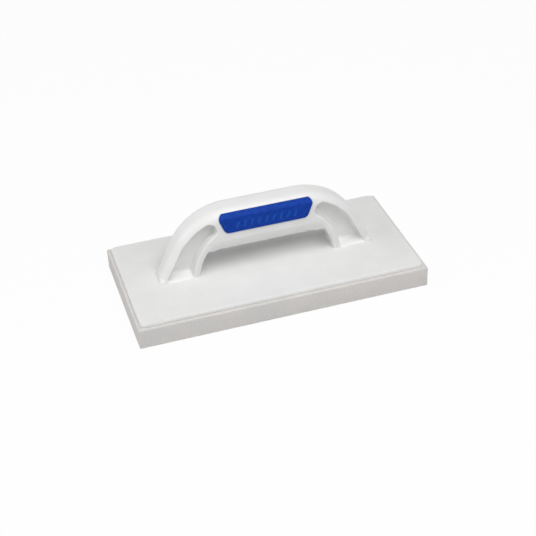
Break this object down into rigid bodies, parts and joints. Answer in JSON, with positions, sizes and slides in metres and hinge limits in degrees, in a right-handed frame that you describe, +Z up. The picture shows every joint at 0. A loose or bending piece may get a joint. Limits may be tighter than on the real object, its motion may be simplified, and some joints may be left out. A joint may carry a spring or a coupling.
{
  "type": "hand float",
  "caption": "Plasterer's hand float: a thick flat rubber sole glued to a stiff plastic plate, with a moulded bow handle for one hand.",
  "frame": {"origin": "centre of the sole's flat working face, at the bottom of the float", "axes": "+X along the sole's length and the grip, +Y across the sole, +Z up from the working face towards the grip"},
  "size_m": [0.28, 0.14, 0.09],
  "materials": {
    "pad_rubber": "fine-celled matte",
    "glue": "cured adhesive",
    "plate_plastic": "fine moulded texture",
    "handle_plastic": "satin moulded",
    "inlay_rubber": "matte soft-touch",
    "screw_steel": "zinc plated"
  },
  "bodies": {
    "root": {"sole_pad": "pad_rubber", "adhesive_film": "glue", "backing_plate": "plate_plastic", "handle_body": "handle_plastic", "grip_inlay_front": "inlay_rubber", "grip_inlay_rear": "inlay_rubber", "handle_screws": "screw_steel"}
  },
  "joints": []
}
